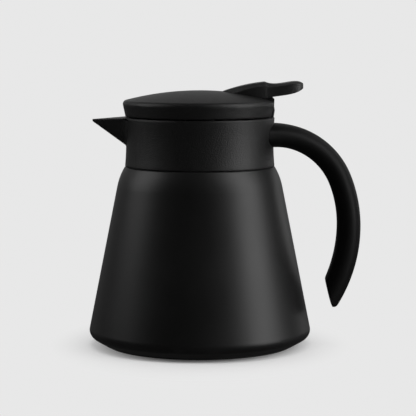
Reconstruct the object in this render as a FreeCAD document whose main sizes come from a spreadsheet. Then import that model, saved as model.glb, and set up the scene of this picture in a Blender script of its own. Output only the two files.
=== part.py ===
import FreeCAD, Part
import math
import os

import Sketcher

# Thermal carafe: spout towards -X, handle towards +X, floor at Z = 0

# Driving sizes, in millimetres and degrees
SIZES = {
    # Steel body
    "base_radius": 69.8,
    "base_corner_radius": 5.6,
    "base_bevel_angle": 30.0,
    "base_flat_inset": 11.0,
    "shoulder_radius": 38.0,
    "shoulder_lean": 31.9,
    "seam_height": 112.8,
    "seam_radius": 46.9,
    "seam_round": 1.2,
    "shell_wall": 0.8,
    "neck_gap": 1.6,
    "neck_height": 11.6,
    # Vacuum flask
    "flask_wall": 0.6,
    "vacuum_gap": 3.0,
    "mouth_inset": 10.9,
    # Foot
    "pad_thickness": 1.2,
    "pad_margin": 0.3,
    "plate_thickness": 0.8,
    "weld_gap": 0.05,
    "port_radius": 0.8,
    "dimple_radius": 4.0,
    "dimple_depth": 0.4,
    "bead_gap": 0.05,
    "getter_radius": 6.0,
    "getter_thickness": 1.6,
    "getter_offset": 25.0,
    # Collar
    "collar_height": 30.8,
    "collar_waist": 0.7,
    "collar_wall": 2.4,
    "collar_edge": 0.5,
    "web_thickness": 2.0,
    "web_lap": 2.4,
    "neck_gasket_thickness": 1.0,
    "neck_gasket_margin": 0.2,
    "sleeve_wall": 2.0,
    "sleeve_fit": 0.1,
    "sleeve_foot_gap": 1.0,
    "ledge_depth": 1.6,
    "ledge_width": 1.0,
    # Spout
    "spout_length": 20.3,
    "spout_half_width": 14.5,
    "spout_depth": 20.2,
    "spout_round": 6.0,
    "spout_tip_half_width": 1.0,
    "spout_tip_depth": 1.3,
    "spout_tip_drop": 1.3,
    "spout_tip_round": 0.5,
    "spout_root_inset": 1.5,
    "channel_wall": 2.1,
    "channel_lift": 0.1,
    "channel_round": 4.0,
    "channel_tip_half_width": 0.6,
    "channel_tip_depth": 0.6,
    "channel_tip_round": 0.2,
    # Handle
    "handle_drop": 11.3,
    "handle_start_inset": 0.2,
    "handle_thickness": 14.7,
    "handle_width": 20.0,
    "handle_side_radius": 4.6,
    "handle_upper_bend": 44.8,
    "handle_upper_angle": 22.0,
    "handle_middle_bend": 77.3,
    "handle_lower_bend": 86.0,
    "handle_lower_angle": 37.0,
    "handle_root_width": 25.0,
    "handle_root_thickness": 15.2,
    "handle_root_side_radius": 5.2,
    "handle_flare_length": 6.0,
    "handle_fit": 0.05,
    "facet_drop": 33.3,
    "facet_angle": 14.3,
    "tip_drop": 51.4,
    "tip_round": 2.5,
    # Handle screws
    "handle_screw_spacing": 11.0,
    "handle_screw_radius": 2.0,
    "handle_screw_head_radius": 3.6,
    "handle_screw_head_height": 1.4,
    "handle_screw_length": 14.0,
    "screw_seat_wall": 1.3,
    "thread_gap": 0.05,
    # Stopper
    "stopper_wall": 2.0,
    "stopper_side_gap": 1.6,
    "stopper_seat_gap": 0.3,
    "stopper_flange_gap": 0.3,
    "stopper_flange_thickness": 1.2,
    "plug_gap": 0.8,
    "spigot_wall": 1.0,
    "spigot_fit": 0.05,
    "plug_depth": 14.0,
    "floor_drop": 4.0,
    "floor_thickness": 2.5,
    "pour_hole_radius": 10.0,
    "window_half_width": 11.0,
    "gasket_height": 3.0,
    "gasket_groove_depth": 1.0,
    "gasket_rise": 3.0,
    "gasket_gap": 0.3,
    # Lid
    "lid_gap": 0.8,
    "lid_skirt_inset": 0.25,
    "lid_skirt_angle": 11.8,
    "lid_skirt_height": 9.4,
    "lid_dome_radius": 185.0,
    "lid_rise": 16.6,
    "lid_rim_round": 2.5,
    "lid_wall": 2.2,
    "notch_side_gap": 1.1,
    "notch_clearance": 1.0,
    "liner_inset": 9.4,
    "liner_thickness": 2.0,
    "liner_rise": 2.4,
    "liner_fit": 0.1,
    "liner_rib_wall": 1.8,
    "post_radius": 9.0,
    "knob_radius": 4.0,
    "knob_height": 2.0,
    "seal_lap": 3.0,
    "seal_thickness": 3.7,
    "seal_gap": 0.3,
    # Hinge
    "pin_inset": 3.9,
    "pin_rise": 5.9,
    "pin_radius": 1.5,
    "pin_press_gap": 0.02,
    "pin_running_gap": 0.06,
    "knuckle_radius": 3.3,
    "lug_inner": 3.6,
    "lug_outer": 7.6,
    "ear_gap": 0.4,
    "ear_outer": 13.5,
    "ear_foot_gap": 0.5,
    "ear_rib_drop": 1.0,
    "lug_overhang": 0.2,
    "lug_top_drop": 5.5,
    "lug_top_round": 1.1,
    "lug_neck_offset": 0.4,
    # Torsion spring
    "wire_radius": 0.35,
    "coil_radius": 2.5,
    "coil_pitch": 1.3,
    "coil_turns": 3.0,
    "spring_foot_length": 2.6,
    "spring_arm_length": 8.0,
    "spring_rest_side_gap": 0.6,
    "spring_rest_gap": 0.15,
    # Lever screws
    "lever_screw_offset": 11.0,
    "lever_screw_spacing": 12.0,
    "lever_screw_radius": 1.5,
    "lever_screw_head_radius": 2.75,
    "lever_screw_head_height": 1.8,
    "lever_screw_length": 6.5,
    "boss_radius": 4.2,
    "boss_depth": 0.98,
    # Liner screws
    "liner_screw_inset": 10.5,
    "liner_screw_angle": 60.0,
    "liner_screw_radius": 1.3,
    "liner_screw_head_radius": 2.4,
    "liner_screw_head_height": 1.4,
    "liner_screw_length": 7.0,
    "liner_boss_radius": 3.6,
    # Thumb lever bed and pockets
    "lever_bevel": 3.0,
    "lever_bed_depth": 1.5,
    "lever_bed_gap": 0.05,
    "lever_slot_drop": 5.0,
    "arm_end_gap": 1.0,
    "arm_gap": 0.25,
    "arm_pocket_length": 2.6,
    # Thumb lever sections: runs along it, and side and crown heights above its underside
    "lever_front_run": 8.4,
    "lever_front_half_width": 4.6,
    "lever_front_side": 0.18,
    "lever_front_crown": 1.6,
    "lever_brow_run": 9.0,
    "lever_brow_half_width": 8.6,
    "lever_brow_side": 2.14,
    "lever_brow_crown": 3.0,
    "lever_rise_run": 8.9,
    "lever_rise_half_width": 10.8,
    "lever_rise_side": 6.09,
    "lever_rise_crown": 2.4,
    "lever_peak_lead": 2.1,
    "lever_peak_half_width": 11.0,
    "lever_peak_side": 8.98,
    "lever_peak_crown": 2.5,
    "lever_peak_under": -4.5,
    "lever_scoop_run": 8.1,
    "lever_scoop_half_width": 11.0,
    "lever_scoop_side": 6.0,
    "lever_scoop_crown": 1.4,
    "lever_scoop_under": -3.1,
    "lever_tail_run": 12.0,
    "lever_tail_half_width": 10.4,
    "lever_tail_side": 5.1,
    "lever_tail_crown": 1.1,
    "lever_tail_under": -0.5,
    "lever_end_run": 3.4,
    "lever_end_half_width": 7.4,
    "lever_end_side": 2.2,
    "lever_end_crown": 0.9,
    "lever_end_under": 1.6,
    # How far a cut runs past the piece it goes through
    "cut_margin": 5.0,
}


class Size:
    """A number together with the sheet expression that gives it."""

    def __init__(self, value, text):
        self.value = value
        self.text = text

    @staticmethod
    def of(other):
        if isinstance(other, Size):
            return other
        return Size(float(other), repr(float(other)))

    def join(self, other, sign, value):
        return Size(value, "(" + self.text + sign + Size.of(other).text + ")")

    def __add__(self, other):
        return self.join(other, " + ", self.value + Size.of(other).value)

    def __sub__(self, other):
        return self.join(other, " - ", self.value - Size.of(other).value)

    def __mul__(self, other):
        return self.join(other, " * ", self.value * Size.of(other).value)

    def __truediv__(self, other):
        return self.join(other, " / ", self.value / Size.of(other).value)

    def __rsub__(self, other):
        return Size.of(other) - self

    def __rmul__(self, other):
        return Size.of(other) * self

    def __neg__(self):
        return Size(-self.value, "(0 - " + self.text + ")")


def root(size):
    return Size(math.sqrt(size.value), "sqrt(" + size.text + ")")


def sine(angle):
    return Size(math.sin(math.radians(angle.value)), "sin(" + angle.text + ")")


def cosine(angle):
    return Size(math.cos(math.radians(angle.value)), "cos(" + angle.text + ")")


def tangent(angle):
    return sine(angle) / cosine(angle)


class Dims:
    """The sheet's cells as sizes, one attribute for each alias."""

    def __init__(self, sheet, sizes):
        for row, (alias, value) in enumerate(sizes.items(), start=1):
            sheet.set("A" + str(row), alias)
            sheet.set("B" + str(row), str(value))
            sheet.setAlias("B" + str(row), alias)
            setattr(self, alias, Size(value, sheet.Name + "." + alias))


doc = FreeCAD.newDocument("thermal_carafe")
sheet = doc.addObject("Spreadsheet::Sheet", "dims")
dims = Dims(sheet, SIZES)
doc.recompute()
zero = Size.of(0)


# Sketch and feature helpers

class Arc:
    """A corner from which a round stretch runs to the next corner, turning left (1) or right (-1)."""

    def __init__(self, x, y, radius, turn):
        self.corner = (Size.of(x), Size.of(y))
        self.radius = radius
        self.turn = turn


class Circle:
    def __init__(self, x, y, radius):
        self.centre = (Size.of(x), Size.of(y))
        self.radius = radius


def point(pair):
    return FreeCAD.Vector(pair[0].value, pair[1].value, 0)


def place(constraints, bindings, geometry, position, pair):
    """Hold one point of the sketch at a pair of sizes from the origin."""
    for kind, size, axis in (("DistanceX", pair[0], -2), ("DistanceY", pair[1], -1)):
        if size.value == 0:
            constraints.append(Sketcher.Constraint("PointOnObject", geometry, position, axis))
            continue
        ends = (-1, 1, geometry, position)
        if size.value < 0:
            ends = (geometry, position, -1, 1)
            size = -size
        bindings[len(constraints)] = size
        constraints.append(Sketcher.Constraint(kind, *ends, size.value))


def draw(sketch, loops):
    """Draw closed loops of corners, arcs and circles, each corner held by its own sizes."""
    constraints = []
    bindings = {}
    for loop in loops:
        if isinstance(loop, Circle):
            circle = Part.Circle(point(loop.centre), FreeCAD.Vector(0, 0, 1), loop.radius.value)
            index = sketch.addGeometry(circle)
            place(constraints, bindings, index, 3, loop.centre)
            bindings[len(constraints)] = loop.radius
            constraints.append(Sketcher.Constraint("Radius", index, loop.radius.value))
            continue
        draw_loop(sketch, loop, constraints, bindings, True)
    finish(sketch, constraints, bindings)


def draw_path(sketch, path):
    """Draw an open run of corners and arcs."""
    constraints = []
    bindings = {}
    draw_loop(sketch, path, constraints, bindings, False)
    finish(sketch, constraints, bindings)


def draw_loop(sketch, loop, constraints, bindings, closed):
    corners = []
    for item in loop:
        corners.append(item.corner if isinstance(item, Arc) else (Size.of(item[0]), Size.of(item[1])))
    count = len(corners) if closed else len(corners) - 1
    ends = []
    for index in range(count):
        start = point(corners[index])
        stop = point(corners[(index + 1) % len(corners)])
        item = loop[index]
        if not isinstance(item, Arc):
            geometry = sketch.addGeometry(Part.LineSegment(start, stop))
            ends.append((geometry, 1, 2))
            continue
        geometry = sketch.addGeometry(arc_between(start, stop, item.radius.value, item.turn))
        ends.append((geometry, 1, 2) if item.turn > 0 else (geometry, 2, 1))
        bindings[len(constraints)] = item.radius
        constraints.append(Sketcher.Constraint("Radius", geometry, item.radius.value))
    for index, (geometry, first, last) in enumerate(ends):
        place(constraints, bindings, geometry, first, corners[index])
        if closed or index + 1 < count:
            following = ends[(index + 1) % count]
            joint = Sketcher.Constraint("Coincident", geometry, last, following[0], following[1])
            constraints.append(joint)
        else:
            place(constraints, bindings, geometry, last, corners[-1])


def arc_between(start, stop, radius, turn):
    chord = stop - start
    left = FreeCAD.Vector(-chord.y, chord.x, 0).normalize()
    height = math.sqrt(max(radius ** 2 - (chord.Length / 2) ** 2, 0))
    centre = (start + stop) / 2 + left * height * turn
    first, last = (start, stop) if turn > 0 else (stop, start)
    angles = [math.atan2(end.y - centre.y, end.x - centre.x) for end in (first, last)]
    circle = Part.Circle(centre, FreeCAD.Vector(0, 0, 1), radius)
    return Part.ArcOfCircle(circle, angles[0], angles[1])


def finish(sketch, constraints, bindings):
    sketch.addConstraint(constraints)
    for index, size in bindings.items():
        sketch.setExpression("Constraints[" + str(index) + "]", size.text)


def new_body(label):
    body = doc.addObject("PartDesign::Body", label)
    body.Label = label
    return body


def new_sketch(body, name, role, offset=None):
    """A sketch on one of the body's own origin planes, moved along the plane's normal by offset."""
    sketch = body.newObject("Sketcher::SketchObject", name)
    plane = [item for item in body.Origin.OriginFeatures if item.Role == role][0]
    sketch.AttachmentSupport = [(plane, "")]
    sketch.MapMode = "FlatFace"
    if offset is not None:
        sketch.setExpression("AttachmentOffset.Base.z", offset.text)
    return sketch


def turned(body, name, kind, loops):
    """A Revolution or Groove of loops in the XZ plane about the Z axis."""
    sketch = new_sketch(body, name + "_outline", "XZ_Plane")
    draw(sketch, loops)
    feature = body.newObject("PartDesign::" + kind, name)
    feature.Profile = sketch
    feature.ReferenceAxis = (sketch, ["V_Axis"])
    feature.Angle = 360
    doc.recompute()
    return feature


def extruded(body, name, kind, role, loops, length, offset=None, symmetric=False, reverse=False):
    """A Pad or Pocket of loops drawn on an origin plane."""
    sketch = new_sketch(body, name + "_outline", role, offset)
    draw(sketch, loops)
    feature = body.newObject("PartDesign::" + kind, name)
    feature.Profile = sketch
    feature.setExpression("Length", length.text)
    if symmetric:
        feature.SideType = "Symmetric"
    feature.Reversed = reverse
    doc.recompute()
    return feature


def lofted(body, name, kind, sections):
    """An AdditiveLoft or SubtractiveLoft through (offset, loops) pairs drawn across the X axis."""
    sketches = []
    for index, (offset, loops) in enumerate(sections):
        sketch = new_sketch(body, name + "_section_" + str(index), "YZ_Plane", offset)
        draw(sketch, loops)
        sketches.append(sketch)
    feature = body.newObject("PartDesign::" + kind, name)
    feature.Profile = sketches[0]
    feature.Sections = sketches[1:]
    doc.recompute()
    return feature


def rectangle(left, bottom, right, top):
    return [(left, bottom), (right, bottom), (right, top), (left, top)]


# Shared places, worked out from the driving sizes

seam = dims.seam_height
collar_top = seam + dims.collar_height
apex = collar_top + dims.lid_rise
base_flat_radius = dims.base_radius - dims.base_flat_inset
mouth_radius = dims.seam_radius - dims.mouth_inset
neck_radius = mouth_radius + dims.flask_wall + dims.neck_gap + dims.shell_wall
handle_height = collar_top - dims.handle_drop
handle_start = dims.seam_radius - dims.handle_start_inset
pin_x = dims.seam_radius - dims.pin_inset
pin_z = collar_top + dims.pin_rise
rim = seam + dims.neck_height
lip = rim + dims.flask_wall
web_under = lip + dims.neck_gasket_thickness
web_top = web_under + dims.web_thickness
cavity_radius = dims.seam_radius - dims.collar_wall
ledge_height = collar_top - dims.ledge_depth
ledge_radius = cavity_radius + dims.ledge_width
side_height = dims.collar_height - 2 * dims.collar_edge
waist_radius = side_height * side_height / (8 * dims.collar_waist) + dims.collar_waist / 2
plate_top = dims.pad_thickness + dims.plate_thickness


class BodyProfile:
    """The body's meridian moved inwards by an offset: foot corner, shoulder and the cone tangent to both."""

    def __init__(self, offset):
        bevel_sine = sine(dims.base_bevel_angle)
        bevel_cosine = cosine(dims.base_bevel_angle)
        self.corner_x = dims.base_radius - dims.base_corner_radius
        run = base_flat_radius - self.corner_x
        self.corner_z = (dims.base_corner_radius - run * bevel_sine) / bevel_cosine
        self.centre_x = dims.seam_radius - dims.shoulder_radius * cosine(dims.shoulder_lean)
        self.centre_z = seam - dims.shoulder_radius * sine(dims.shoulder_lean)
        across = self.centre_x - self.corner_x
        rise = self.centre_z - self.corner_z
        step = dims.base_corner_radius - dims.shoulder_radius
        square = across * across + rise * rise
        length = root(square - step * step)
        cone_cosine = (step * across + length * rise) / square
        cone_sine = (step * rise - length * across) / square
        self.corner_radius = dims.base_corner_radius - offset
        self.shoulder_radius = dims.shoulder_radius - offset
        self.cone_foot = (
            self.corner_x + self.corner_radius * cone_cosine,
            self.corner_z + self.corner_radius * cone_sine,
        )
        self.cone_top = (
            self.centre_x + self.shoulder_radius * cone_cosine,
            self.centre_z + self.shoulder_radius * cone_sine,
        )
        self.bevel_top = (
            self.corner_x + self.corner_radius * bevel_sine,
            self.corner_z - self.corner_radius * bevel_cosine,
        )
        self.bevel_sine = bevel_sine
        self.bevel_cosine = bevel_cosine

    def shoulder_at(self, height):
        rise = height - self.centre_z
        return self.centre_x + root(self.shoulder_radius * self.shoulder_radius - rise * rise)

    def bevel_at(self, height):
        return self.bevel_top[0] - (self.bevel_top[1] - height) * self.bevel_cosine / self.bevel_sine


def round_edges(body, name, radius, chosen):
    """Round the edges of the body's present shape that the test picks."""
    tip = body.Tip
    names = ["Edge" + str(n) for n, edge in enumerate(tip.Shape.Edges, start=1) if chosen(edge)]
    feature = body.newObject("PartDesign::Fillet", name)
    feature.Base = (tip, names)
    feature.setExpression("Radius", radius.text)
    doc.recompute()
    return feature


def is_ring(edge, radius, height, slack=0.01):
    """True for a full circle about the Z axis with this radius and height."""
    if edge.Degenerated or not isinstance(edge.Curve, Part.Circle):
        return False
    curve = edge.Curve
    return abs(curve.Radius - radius.value) < slack and abs(curve.Center.z - height.value) < slack


# Steel body

def make_outer_shell():
    body = new_body("outer_shell")
    outer = BodyProfile(zero)
    inner = BodyProfile(dims.shell_wall)
    foot = dims.pad_thickness
    under = seam - dims.shell_wall
    bore = neck_radius - dims.shell_wall
    loop = [
        (outer.bevel_at(foot), foot),
        Arc(*outer.bevel_top, outer.corner_radius, 1),
        outer.cone_foot,
        Arc(*outer.cone_top, outer.shoulder_radius, 1),
        (dims.seam_radius, seam),
        (neck_radius, seam),
        (neck_radius, rim),
        (bore, rim),
        (bore, under),
        Arc(inner.shoulder_at(under), under, inner.shoulder_radius, -1),
        inner.cone_top,
        Arc(*inner.cone_foot, inner.corner_radius, -1),
        inner.bevel_top,
        (inner.bevel_at(foot), foot),
    ]
    turned(body, "shell_turn", "Revolution", [loop])
    round_edges(body, "seam_rounding", dims.seam_round, lambda edge: is_ring(edge, dims.seam_radius, seam))
    return body


def make_inner_flask():
    body = new_body("inner_flask")
    outside = dims.shell_wall + dims.vacuum_gap
    outer = BodyProfile(outside)
    inner = BodyProfile(outside + dims.flask_wall)
    bottom = outer.corner_z - outer.corner_radius
    floor = bottom + dims.flask_wall
    shoulder = seam - outside
    under = shoulder - dims.flask_wall
    loop = [
        (zero, bottom),
        Arc(outer.corner_x, bottom, outer.corner_radius, 1),
        outer.cone_foot,
        Arc(*outer.cone_top, outer.shoulder_radius, 1),
        (outer.shoulder_at(shoulder), shoulder),
        (mouth_radius + dims.flask_wall, shoulder),
        (mouth_radius + dims.flask_wall, rim),
        (neck_radius, rim),
        (neck_radius, lip),
        (mouth_radius, lip),
        (mouth_radius, under),
        Arc(inner.shoulder_at(under), under, inner.shoulder_radius, -1),
        inner.cone_top,
        Arc(*inner.cone_foot, inner.corner_radius, -1),
        (inner.corner_x, floor),
        (zero, floor),
    ]
    turned(body, "flask_turn", "Revolution", [loop])
    return body


# Foot pieces

def make_bottom_plate():
    body = new_body("bottom_plate")
    radius = BodyProfile(dims.shell_wall).bevel_at(dims.pad_thickness) - dims.weld_gap
    loop = [
        (dims.dimple_radius, dims.pad_thickness),
        (radius, dims.pad_thickness),
        (radius, plate_top),
        (dims.port_radius, plate_top),
        (dims.port_radius, dims.pad_thickness + dims.dimple_depth),
        (dims.dimple_radius, dims.pad_thickness + dims.dimple_depth),
    ]
    turned(body, "plate_turn", "Revolution", [loop])
    return body


def make_vacuum_seal():
    body = new_body("vacuum_seal")
    shank = dims.port_radius - dims.bead_gap
    step = dims.pad_thickness + dims.dimple_depth
    loop = [
        (zero, dims.pad_thickness),
        (dims.dimple_radius - dims.bead_gap, dims.pad_thickness),
        (dims.dimple_radius - dims.bead_gap, step),
        (shank, step),
        (shank, plate_top),
        (zero, plate_top),
    ]
    turned(body, "bead_turn", "Revolution", [loop])
    return body


def make_getter():
    body = new_body("getter")
    loops = [Circle(dims.getter_offset, 0, dims.getter_radius)]
    extruded(body, "getter_pad", "Pad", "XY_Plane", loops, dims.getter_thickness, plate_top)
    return body


def make_base_pad():
    body = new_body("base_pad")
    loops = [Circle(0, 0, base_flat_radius - dims.pad_margin)]
    extruded(body, "pad_disc", "Pad", "XY_Plane", loops, dims.pad_thickness)
    return body


# Collar and spout

def spout_section(half_width, top, depth, bottom_round):
    """A V with a round bottom: side lines tangent to a circle on the middle line, closed by a level top."""
    rise = depth - bottom_round
    square = half_width * half_width + rise * rise
    near = bottom_round * bottom_round / square
    far = bottom_round * root(square - bottom_round * bottom_round) / square
    side = near * half_width + far * rise
    height = top - rise + near * rise - far * half_width
    return [
        (half_width, top),
        (-half_width, top),
        Arc(-side, height, bottom_round, 1),
        (side, height),
    ]


def collar_outline(grow):
    """The collar's waisted outer side, moved outwards by grow, from its foot to its top."""
    radius = dims.seam_radius + grow
    return [
        (radius - dims.collar_edge, seam),
        Arc(radius, seam + dims.collar_edge, waist_radius, -1),
        (radius, collar_top - dims.collar_edge),
        (radius - dims.collar_edge, collar_top),
    ]


def make_collar():
    body = new_body("collar")
    sleeve_bore = neck_radius + dims.sleeve_fit
    sleeve_outside = sleeve_bore + dims.sleeve_wall
    web_bore = neck_radius - dims.web_lap
    sleeve_foot = seam + dims.sleeve_foot_gap
    ring = collar_outline(zero) + [
        (cavity_radius, collar_top),
        (cavity_radius, web_top),
        (web_bore, web_top),
        (web_bore, web_under),
        (sleeve_bore, web_under),
        (sleeve_bore, sleeve_foot),
        (sleeve_outside, sleeve_foot),
        (sleeve_outside, web_under),
        (cavity_radius, web_under),
        (cavity_radius, seam),
    ]
    turned(body, "collar_turn", "Revolution", [ring])

    root_plane = -(cavity_radius - dims.spout_root_inset)
    tip_plane = -(dims.seam_radius + dims.spout_length)
    tip_top = collar_top - dims.spout_tip_drop
    root_loop = spout_section(dims.spout_half_width, collar_top, dims.spout_depth, dims.spout_round)
    tip_loop = spout_section(
        dims.spout_tip_half_width, tip_top, dims.spout_tip_depth, dims.spout_tip_round)
    lofted(body, "spout", "AdditiveLoft", [(root_plane, [root_loop]), (tip_plane, [tip_loop])])

    cavity = [
        (web_bore, web_top),
        (cavity_radius, web_top),
        (cavity_radius, ledge_height),
        (ledge_radius, ledge_height),
        (ledge_radius, collar_top),
        (web_bore, collar_top),
    ]
    turned(body, "cavity", "Groove", [cavity])

    channel_depth = collar_top - web_top - dims.channel_lift
    channel_width = dims.spout_half_width - dims.channel_wall
    channel_root = root_plane + dims.spout_root_inset
    root_loop = spout_section(channel_width, collar_top, channel_depth, dims.channel_round)
    tip_loop = spout_section(
        dims.channel_tip_half_width, tip_top, dims.channel_tip_depth, dims.channel_tip_round)
    lofted(body, "spout_channel", "SubtractiveLoft", [(channel_root, [root_loop]), (tip_plane, [tip_loop])])

    seat = dims.seam_radius - dims.collar_waist - dims.screw_seat_wall
    across = dims.handle_screw_spacing / 2
    heads = []
    holes = []
    for side in (-across, across):
        heads.append(Circle(side, handle_height, dims.handle_screw_head_radius + dims.thread_gap))
        holes.append(Circle(side, handle_height, dims.handle_screw_radius + dims.thread_gap))
    depth = dims.handle_screw_head_height + dims.collar_wall
    extruded(body, "screw_seats", "Pocket", "YZ_Plane", heads, depth, seat)
    extruded(body, "screw_holes", "Pocket", "YZ_Plane", holes, depth, dims.seam_radius)
    return body


def make_neck_gasket():
    body = new_body("neck_gasket")
    margin = dims.neck_gasket_margin
    loop = rectangle(mouth_radius + margin, lip, neck_radius - margin, web_under)
    turned(body, "gasket_turn", "Revolution", [loop])
    return body


# Handle

class HandlePath:
    """The handle's middle line: level at the root, then three bends, each tangent to the one before."""

    def __init__(self):
        angle_sine = sine(dims.handle_upper_angle)
        angle_cosine = cosine(dims.handle_upper_angle)
        upper = (handle_start, handle_height - dims.handle_upper_bend)
        middle_step = dims.handle_middle_bend - dims.handle_upper_bend
        middle = (upper[0] - middle_step * angle_cosine, upper[1] - middle_step * angle_sine)
        self.lower = (middle[0] - (dims.handle_lower_bend - dims.handle_middle_bend), middle[1])
        self.first = (
            upper[0] + dims.handle_upper_bend * angle_cosine,
            upper[1] + dims.handle_upper_bend * angle_sine,
        )
        self.second = (middle[0] + dims.handle_middle_bend, middle[1])
        self.last = (
            self.lower[0] + dims.handle_lower_bend * cosine(dims.handle_lower_angle),
            self.lower[1] - dims.handle_lower_bend * sine(dims.handle_lower_angle),
        )


def grip_section(half_width, half_height, side_radius, middle):
    """An oval of two crown arcs and two tighter side arcs, tangent where they meet."""
    reach = half_width - side_radius
    spread = reach * reach + half_height * half_height - side_radius * side_radius
    crown = spread / (2 * (half_height - side_radius))
    drop = crown - half_height
    span = crown - side_radius
    x = reach * crown / span
    z = drop * crown / span - drop
    return [
        Arc(x, middle + z, crown, 1),
        Arc(-x, middle + z, side_radius, 1),
        Arc(-x, middle - z, crown, 1),
        Arc(x, middle - z, side_radius, 1),
    ]


def make_handle():
    body = new_body("handle")
    path = HandlePath()
    half_width = dims.handle_width / 2
    half_height = dims.handle_thickness / 2
    height = handle_height
    start = cavity_radius

    section = new_sketch(body, "grip_section", "YZ_Plane", start)
    draw(section, [grip_section(half_width, half_height, dims.handle_side_radius, height)])
    spine = new_sketch(body, "grip_path", "XZ_Plane")
    draw_path(spine, [
        (start, height),
        Arc(handle_start, height, dims.handle_upper_bend, -1),
        Arc(*path.first, dims.handle_middle_bend, -1),
        Arc(*path.second, dims.handle_lower_bend, -1),
        path.last,
    ])
    grip = body.newObject("PartDesign::AdditivePipe", "grip")
    grip.Profile = section
    grip.Spine = (spine, ["Edge1", "Edge2", "Edge3", "Edge4"])
    doc.recompute()

    flared = grip_section(
        dims.handle_root_width / 2, dims.handle_root_thickness / 2, dims.handle_root_side_radius, height)
    flare_end = dims.seam_radius + dims.handle_flare_length
    run = flare_end - handle_start
    bend = dims.handle_upper_bend
    bend_height = height - bend + root(bend * bend - run * run)
    plain = grip_section(half_width, half_height, dims.handle_side_radius, bend_height)
    lofted(body, "root_flare", "AdditiveLoft", [(start, [flared]), (flare_end, [plain])])

    core = cavity_radius - dims.collar_wall
    hollow = collar_outline(dims.handle_fit)[1:3] + [(core, collar_top), (core, seam)]
    turned(body, "root_seat", "Groove", [hollow])

    inner = dims.handle_lower_bend - half_height
    drop = dims.facet_drop
    corner = path.lower[0] + root(inner * inner - drop * drop)
    facet_height = path.lower[1] - drop
    tip_height = path.lower[1] - dims.tip_drop
    slope = tangent(dims.facet_angle)
    foot_x = corner + (facet_height - tip_height) * slope
    tangent_length = dims.tip_round * (1 - sine(dims.facet_angle)) / cosine(dims.facet_angle)
    far = path.second[0] + half_height + dims.cut_margin
    near = corner - dims.handle_thickness - dims.cut_margin
    through = dims.handle_width + 2 * dims.cut_margin
    cut = [
        (corner - dims.handle_thickness * slope, facet_height + dims.handle_thickness),
        Arc(
            foot_x - tangent_length * sine(dims.facet_angle),
            tip_height + tangent_length * cosine(dims.facet_angle),
            dims.tip_round,
            1,
        ),
        (foot_x + tangent_length, tip_height),
        (far, tip_height),
        (far, zero),
        (near, zero),
        (near, facet_height + dims.handle_thickness),
    ]
    extruded(body, "tip_cut", "Pocket", "XZ_Plane", [cut], through, symmetric=True)

    across = dims.handle_screw_spacing / 2
    holes = []
    for side in (-across, across):
        holes.append(Circle(side, height, dims.handle_screw_radius + dims.thread_gap))
    end = dims.seam_radius + dims.handle_screw_length
    depth = end - cavity_radius + dims.cut_margin
    extruded(body, "screw_holes_root", "Pocket", "YZ_Plane", holes, depth, end)
    return body


def screws(label, places, axis, size):
    """Equal screws as separate solids: a head before each place and a shank after it, along one axis."""
    way = FreeCAD.Vector(*[float(name == axis) for name in "xyz"])
    turn = FreeCAD.Rotation(FreeCAD.Vector(0, 0, 1), way)
    solids = []
    for index, place_sizes in enumerate(places):
        pieces = []
        for piece, radius, length, start in size:
            cylinder = doc.addObject("Part::Cylinder", label + "_" + piece + "_" + str(index))
            cylinder.setExpression("Radius", radius.text)
            cylinder.setExpression("Height", length.text)
            cylinder.Placement = FreeCAD.Placement(FreeCAD.Vector(), turn)
            for name, amount in zip("xyz", place_sizes):
                moved = amount + start if name == axis else amount
                cylinder.setExpression("Placement.Base." + name, moved.text)
            pieces.append(cylinder)
        joined = doc.addObject("Part::MultiFuse", label + "_" + str(index))
        joined.Shapes = pieces
        joined.Refine = True
        solids.append(joined)
    group = doc.addObject("Part::Compound", label)
    group.Label = label
    group.Links = solids
    doc.recompute()
    return group


def make_handle_screws():
    across = dims.handle_screw_spacing / 2
    seat = dims.seam_radius - dims.collar_waist - dims.screw_seat_wall
    places = [(seat, side, handle_height) for side in (-across, across)]
    head = dims.handle_screw_head_height
    size = [
        ("head", dims.handle_screw_head_radius, head, -head),
        ("shank", dims.handle_screw_radius, dims.handle_screw_length, zero),
    ]
    return screws("handle_screws", places, "x", size)


# Stopper

step_under = web_top + dims.stopper_seat_gap
step_top = step_under + dims.stopper_wall
floor_top = step_under - dims.floor_drop
plug_radius = mouth_radius - dims.plug_gap
plug_bore = plug_radius - dims.stopper_wall
plug_foot = step_under - dims.plug_depth
spigot_radius = plug_bore + dims.spigot_wall
groove_foot = plug_foot + dims.gasket_rise
groove_top = groove_foot + dims.gasket_height
groove_radius = plug_radius - dims.gasket_groove_depth
cup_radius = cavity_radius - dims.stopper_side_gap
cup_bore = cup_radius - dims.stopper_wall
flange_under = ledge_height + dims.stopper_flange_gap
flange_top = flange_under + dims.stopper_flange_thickness
flange_radius = ledge_radius - dims.stopper_flange_gap
ear_foot = collar_top + dims.ear_foot_gap
ear_inner = dims.lug_outer + dims.ear_gap
knuckle_front = pin_x - dims.knuckle_radius
knuckle_rear = pin_x + dims.knuckle_radius
lug_top_x = knuckle_rear + dims.lug_overhang
lug_top_z = apex - dims.lug_top_drop
flange_middle = (flange_under + flange_top) / 2


def make_stopper_plug():
    body = new_body("stopper_plug")
    floor_under = floor_top - dims.floor_thickness
    loop = [
        (dims.pour_hole_radius, floor_under),
        (plug_bore, floor_under),
        (plug_bore, plug_foot),
        (plug_radius, plug_foot),
        (plug_radius, groove_foot),
        (groove_radius, groove_foot),
        (groove_radius, groove_top),
        (plug_radius, groove_top),
        (plug_radius, step_under),
        (spigot_radius, step_under),
        (spigot_radius, step_top),
        (plug_bore, step_top),
        (plug_bore, floor_top),
        (dims.pour_hole_radius, floor_top),
    ]
    turned(body, "plug_turn", "Revolution", [loop])
    return body


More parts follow.
